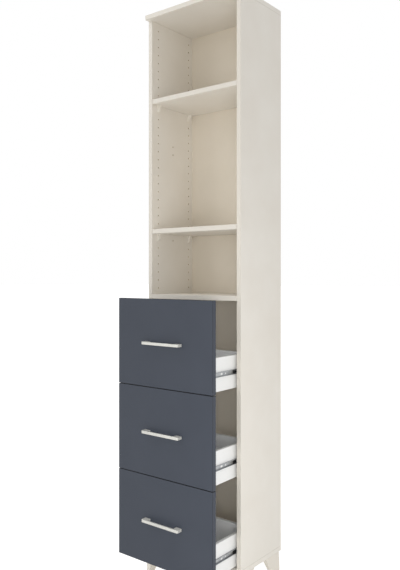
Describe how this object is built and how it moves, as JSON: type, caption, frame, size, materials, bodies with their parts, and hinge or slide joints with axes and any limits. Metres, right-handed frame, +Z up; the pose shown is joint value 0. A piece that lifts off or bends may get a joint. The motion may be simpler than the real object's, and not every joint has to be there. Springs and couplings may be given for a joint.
{
  "type": "storage cabinet",
  "caption": "Tall narrow storage cabinet: open shelves over drawers on ball slides, fronts in a contrasting colour with bow handles, on tapered splayed legs.",
  "frame": {"origin": "on the floor, centred under the cabinet with its drawers drawn out as stored", "axes": "+Z up, -Y the way the front faces and the drawers open, +X to the right of someone facing the front"},
  "size_m": [0.44, 0.465, 2.208],
  "materials": {
    "body_laminate": "matt melamine laminate, warm light grey-beige",
    "back_board": "thin fibreboard with the same decor",
    "leg_plastic": "moulded, in the colour of the body",
    "support_plastic": "moulded, beige",
    "dowel_wood": "beech",
    "screw_steel": "zinc plated",
    "cam_zinc": "die-cast zinc",
    "rail_steel": "bright zinc-plated sheet steel",
    "front_laminate": "matt anthracite laminate",
    "handle_metal": "satin, pale warm nickel tone",
    "box_white": "white foil on board",
    "bottom_white": "white lacquered hardboard",
    "cage_plastic": "black, with steel balls"
  },
  "bodies": {
    "cabinet": {"side_left": "body_laminate", "side_right": "body_laminate", "top_panel": "body_laminate", "bottom_panel": "body_laminate", "fixed_shelf": "body_laminate", "upper_shelf": "body_laminate", "lower_shelf": "body_laminate", "back_panel": "back_board", "front_leg_left": "leg_plastic", "front_leg_right": "leg_plastic", "rear_leg_left": "leg_plastic", "rear_leg_right": "leg_plastic", "shelf_supports": "support_plastic", "panel_dowels": "dowel_wood", "panel_screws": "screw_steel", "short_screws": "screw_steel", "cam_bolts": "screw_steel", "cam_locks": "cam_zinc", "upper_drawer_cabinet_rail_left": "rail_steel", "upper_drawer_cabinet_rail_right": "rail_steel", "middle_drawer_cabinet_rail_left": "rail_steel", "middle_drawer_cabinet_rail_right": "rail_steel", "lower_drawer_cabinet_rail_left": "rail_steel", "lower_drawer_cabinet_rail_right": "rail_steel"},
    "upper_drawer": {"upper_drawer_front": "front_laminate", "upper_drawer_handle": "handle_metal", "upper_drawer_handle_screws": "screw_steel", "upper_drawer_side_left": "box_white", "upper_drawer_side_right": "box_white", "upper_drawer_back": "box_white", "upper_drawer_bottom": "bottom_white", "upper_drawer_dowels": "dowel_wood", "upper_drawer_rail_left": "rail_steel", "upper_drawer_rail_right": "rail_steel", "upper_drawer_rail_screws": "screw_steel"},
    "upper_drawer_cages": {"upper_drawer_ball_cages": "cage_plastic"},
    "middle_drawer": {"middle_drawer_front": "front_laminate", "middle_drawer_handle": "handle_metal", "middle_drawer_handle_screws": "screw_steel", "middle_drawer_side_left": "box_white", "middle_drawer_side_right": "box_white", "middle_drawer_back": "box_white", "middle_drawer_bottom": "bottom_white", "middle_drawer_dowels": "dowel_wood", "middle_drawer_rail_left": "rail_steel", "middle_drawer_rail_right": "rail_steel", "middle_drawer_rail_screws": "screw_steel"},
    "middle_drawer_cages": {"middle_drawer_ball_cages": "cage_plastic"},
    "lower_drawer": {"lower_drawer_front": "front_laminate", "lower_drawer_handle": "handle_metal", "lower_drawer_handle_screws": "screw_steel", "lower_drawer_side_left": "box_white", "lower_drawer_side_right": "box_white", "lower_drawer_back": "box_white", "lower_drawer_bottom": "bottom_white", "lower_drawer_dowels": "dowel_wood", "lower_drawer_rail_left": "rail_steel", "lower_drawer_rail_right": "rail_steel", "lower_drawer_rail_screws": "screw_steel"},
    "lower_drawer_cages": {"lower_drawer_ball_cages": "cage_plastic"}
  },
  "joints": [
    {"name": "upper_drawer_slide", "type": "slide", "parent": "cabinet", "child": "upper_drawer", "axis": [0, -1, 0], "range_m": [-0.146, 0.034]},
    {"name": "upper_drawer_cage_roll", "type": "slide", "parent": "cabinet", "child": "upper_drawer_cages", "axis": [0, -1, 0], "range_m": [-0.073, 0.017]},
    {"name": "middle_drawer_slide", "type": "slide", "parent": "cabinet", "child": "middle_drawer", "axis": [0, -1, 0], "range_m": [-0.146, 0.034]},
    {"name": "middle_drawer_cage_roll", "type": "slide", "parent": "cabinet", "child": "middle_drawer_cages", "axis": [0, -1, 0], "range_m": [-0.073, 0.017]},
    {"name": "lower_drawer_slide", "type": "slide", "parent": "cabinet", "child": "lower_drawer", "axis": [0, -1, 0], "range_m": [-0.146, 0.034]},
    {"name": "lower_drawer_cage_roll", "type": "slide", "parent": "cabinet", "child": "lower_drawer_cages", "axis": [0, -1, 0], "range_m": [-0.073, 0.017]}
  ],
  "couplings": [
    {"joint": "upper_drawer_cage_roll", "follows": "upper_drawer_slide", "ratio": 0.5},
    {"joint": "middle_drawer_cage_roll", "follows": "middle_drawer_slide", "ratio": 0.5},
    {"joint": "lower_drawer_cage_roll", "follows": "lower_drawer_slide", "ratio": 0.5}
  ]
}
